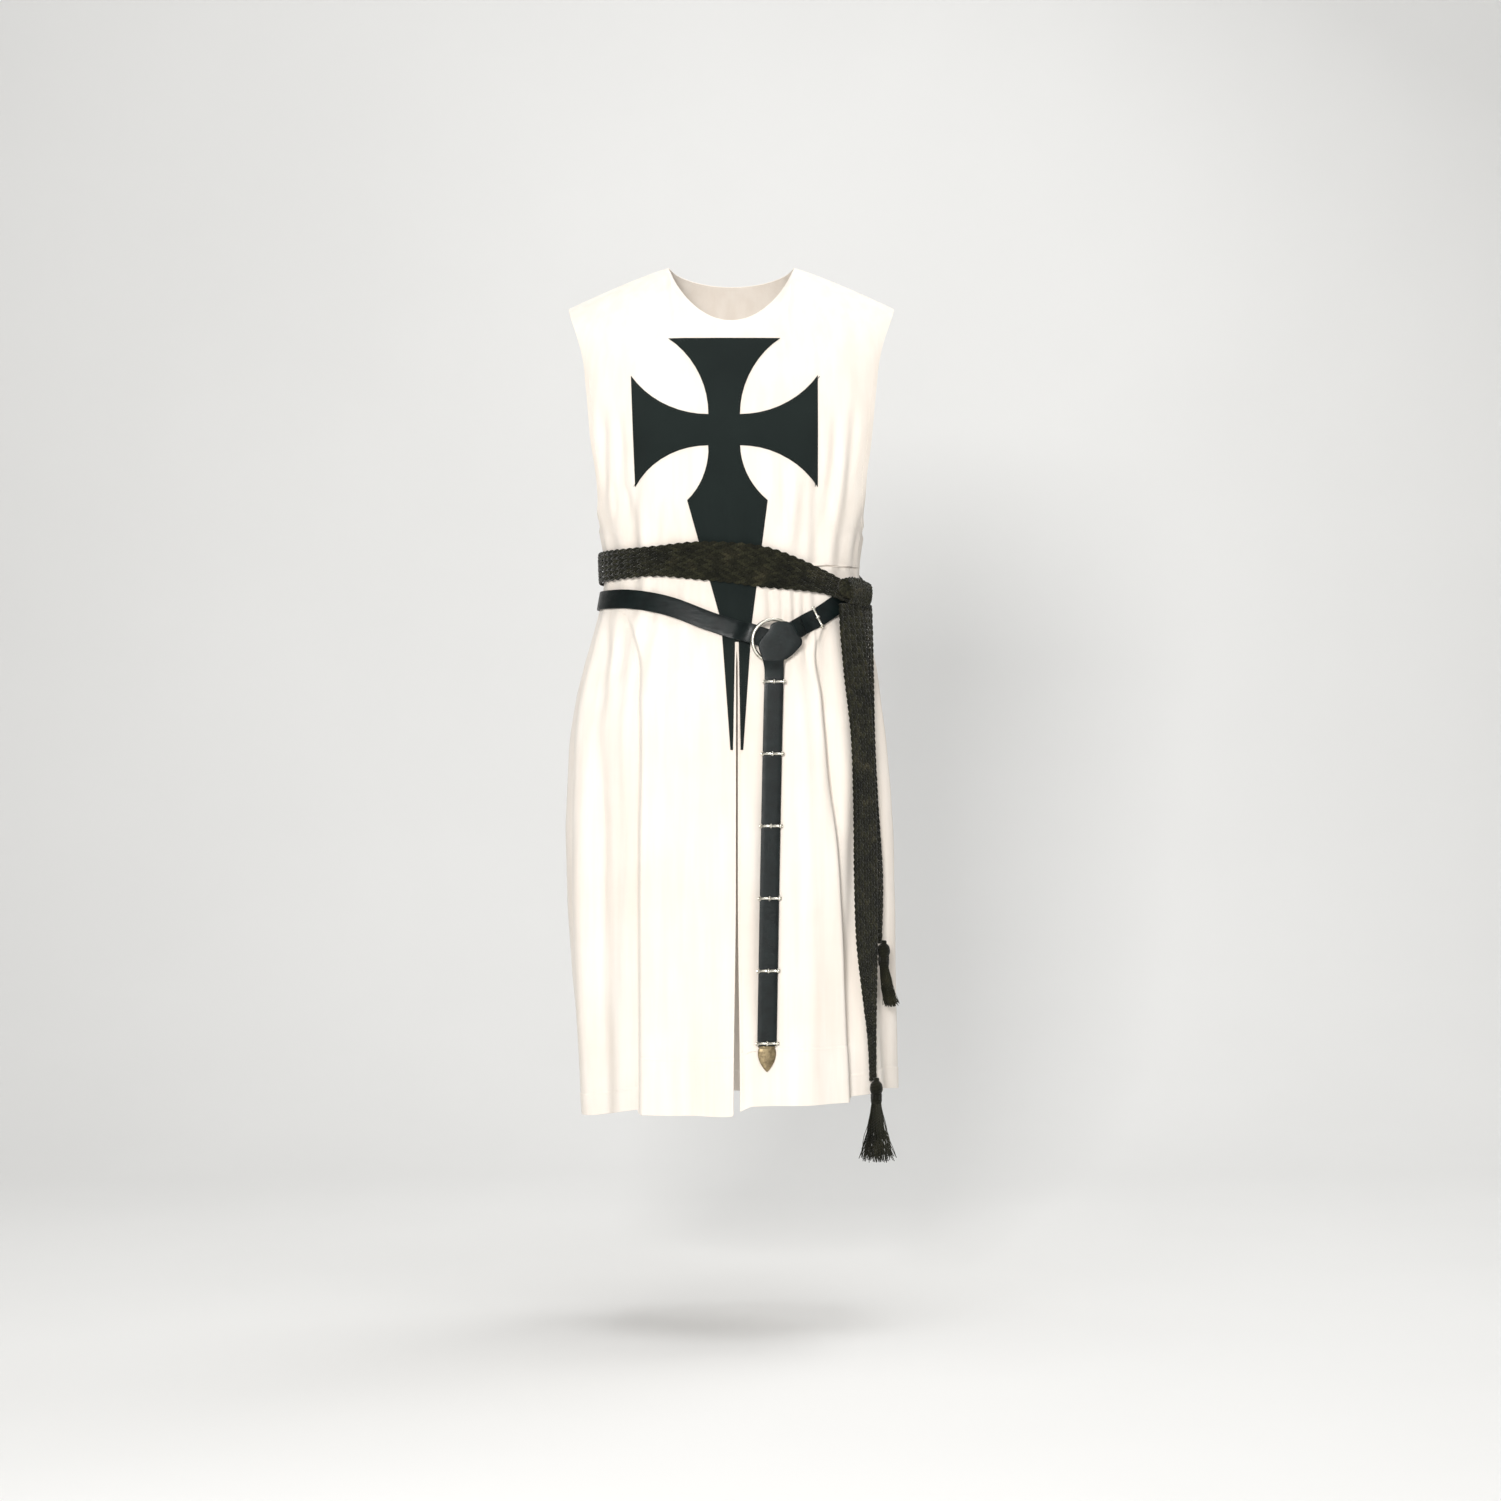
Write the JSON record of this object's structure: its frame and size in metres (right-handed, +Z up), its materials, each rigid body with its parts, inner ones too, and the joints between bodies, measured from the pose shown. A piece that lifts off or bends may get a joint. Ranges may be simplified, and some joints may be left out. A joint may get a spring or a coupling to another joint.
{
  "type": "tabard",
  "caption": "Knight's tabard, worn: long sleeveless cream surcoat with side gores and a slit front, a dark cross on its chest, a braided sash with tassels and a leather ring belt.",
  "frame": {"origin": "where the wearer's shoulders carry the cloth: middle of the neck hole, 16 mm below the neck's shoulder points", "axes": "+Z up, the front faces -Y, +X to the right as seen from the front"},
  "size_m": [0.5063, 0.3522, 1.3517],
  "materials": {
    "cloth": "matt heavy cream cotton",
    "black_cloth": "matt black-green wool cloth",
    "braid": "matt dark olive braid",
    "leather": "black, half gloss",
    "silver": "polished pale metal",
    "bronze": "darkened, worn at the edges"
  },
  "bodies": {
    "root": {"front": "cloth", "back": "cloth", "gore_left": "cloth", "gore_right": "cloth", "cross": "black_cloth", "sash_band": "braid", "sash_knot": "braid", "sash_end_long": "braid", "sash_end_short": "braid", "tassel_long": "braid", "tassel_short": "braid", "belt_strap": "leather", "belt_tongue": "leather", "belt_ring": "silver", "belt_tip": "bronze", "belt_bar_1": "silver", "belt_bar_2": "silver", "belt_bar_3": "silver", "belt_bar_4": "silver", "belt_bar_5": "silver", "belt_bar_6": "silver", "belt_bar_7": "silver"}
  },
  "joints": []
}
